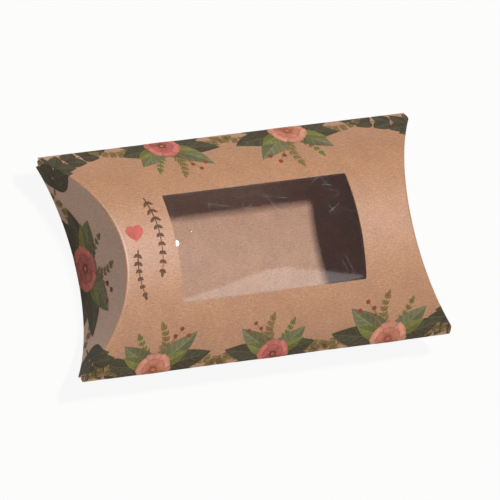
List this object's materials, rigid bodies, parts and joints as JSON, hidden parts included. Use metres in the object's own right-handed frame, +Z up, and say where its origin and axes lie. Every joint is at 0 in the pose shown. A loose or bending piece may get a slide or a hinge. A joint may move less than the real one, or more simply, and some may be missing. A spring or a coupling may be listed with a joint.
{
  "type": "pillow box",
  "caption": "Folding paperboard pillow box with bowed panels, a film window, a glued side seam and curved end flaps that swing open.",
  "frame": {"origin": "on the surface the box rests on, under the middle of the closed box, so the middle plane of the two side creases is half the height above it", "axes": "+X along the length, towards the right end; +Y across the width, towards the glued seam; +Z up, out of the window panel"},
  "size_m": [0.12, 0.0659, 0.031],
  "materials": {
    "kraft_board": "matt",
    "clear_film": "gloss",
    "dried_glue": "matt"
  },
  "bodies": {
    "sleeve": {"front_panel": "kraft_board", "back_panel": "kraft_board", "glue_flap": "kraft_board", "seam_glue": "dried_glue", "window_film": "clear_film", "film_glue": "dried_glue"},
    "left_outer": {"left_outer_flap": "kraft_board"},
    "left_inner": {"left_inner_flap": "kraft_board"},
    "right_outer": {"right_outer_flap": "kraft_board"},
    "right_inner": {"right_inner_flap": "kraft_board"}
  },
  "joints": [
    {"name": "left_outer_flap_hinge", "type": "hinge", "parent": "sleeve", "child": "left_outer", "pos_m": [-0.047, 0, 0.031], "axis": [0, 1, 0], "range_deg": [0, 110]},
    {"name": "left_inner_flap_hinge", "type": "hinge", "parent": "sleeve", "child": "left_inner", "pos_m": [-0.04622, 0, 0], "axis": [0, -1, 0], "range_deg": [0, 44]},
    {"name": "right_outer_flap_hinge", "type": "hinge", "parent": "sleeve", "child": "right_outer", "pos_m": [0.047, 0, 0.031], "axis": [0, -1, 0], "range_deg": [0, 110]},
    {"name": "right_inner_flap_hinge", "type": "hinge", "parent": "sleeve", "child": "right_inner", "pos_m": [0.04622, 0, 0], "axis": [0, 1, 0], "range_deg": [0, 44]}
  ],
  "couplings": [
    {"joint": "left_inner_flap_hinge", "follows": "left_outer_flap_hinge", "ratio": 0.4},
    {"joint": "right_inner_flap_hinge", "follows": "right_outer_flap_hinge", "ratio": 0.4}
  ]
}
